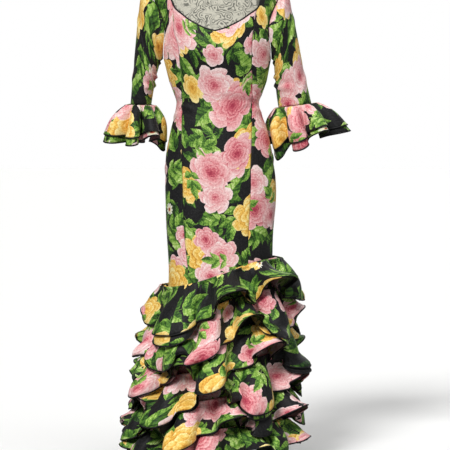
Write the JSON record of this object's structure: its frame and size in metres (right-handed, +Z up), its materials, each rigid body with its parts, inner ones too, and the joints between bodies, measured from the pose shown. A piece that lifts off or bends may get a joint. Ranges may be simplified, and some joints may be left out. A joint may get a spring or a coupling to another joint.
{
  "type": "flamenco dress on dress form",
  "caption": "Fitted floral flamenco dress with elbow sleeves, flounced cuffs and stacked skirt flounces, worn by a limbless linen dress form on a round stand",
  "frame": {"origin": "centre of the underside of the form's round base, on the floor", "axes": "+Z up, -Y the front of the dress, +X the wearer's left"},
  "size_m": [0.7817, 0.5948, 1.6003],
  "materials": {
    "printed_cloth": "matte cotton satin printed with roses and leaves on near-black",
    "black_binding": "matte bias binding",
    "zip_metal": "black enamel",
    "form_linen": "matte linen cover",
    "stand_steel": "satin powder coat"
  },
  "bodies": {
    "dress": {"front_centre_panel": "printed_cloth", "front_right_panel": "printed_cloth", "front_left_panel": "printed_cloth", "back_right_panel": "printed_cloth", "back_left_panel": "printed_cloth", "back_centre_right_panel": "printed_cloth", "back_centre_left_panel": "printed_cloth", "skirt_front": "printed_cloth", "skirt_back": "printed_cloth", "sleeve_right": "printed_cloth", "sleeve_left": "printed_cloth", "cuff_right_upper_flounce": "printed_cloth", "cuff_right_under_flounce": "printed_cloth", "cuff_left_upper_flounce": "printed_cloth", "cuff_left_under_flounce": "printed_cloth", "skirt_flounce_1": "printed_cloth", "skirt_flounce_2": "printed_cloth", "skirt_flounce_3": "printed_cloth", "skirt_flounce_4": "printed_cloth", "skirt_flounce_5": "printed_cloth", "skirt_flounce_6": "printed_cloth", "neck_binding": "black_binding", "zip_slider": "zip_metal", "form_torso": "form_linen", "form_stand": "stand_steel"},
    "pull_tab": {"zip_pull_tab": "zip_metal"}
  },
  "joints": [
    {"name": "zip_pull_tab_hinge", "type": "hinge", "parent": "dress", "child": "pull_tab", "pos_m": [-0.00534, 0.1038, 1.42721], "axis": [1, 0, 0], "range_deg": [0, 165]}
  ]
}
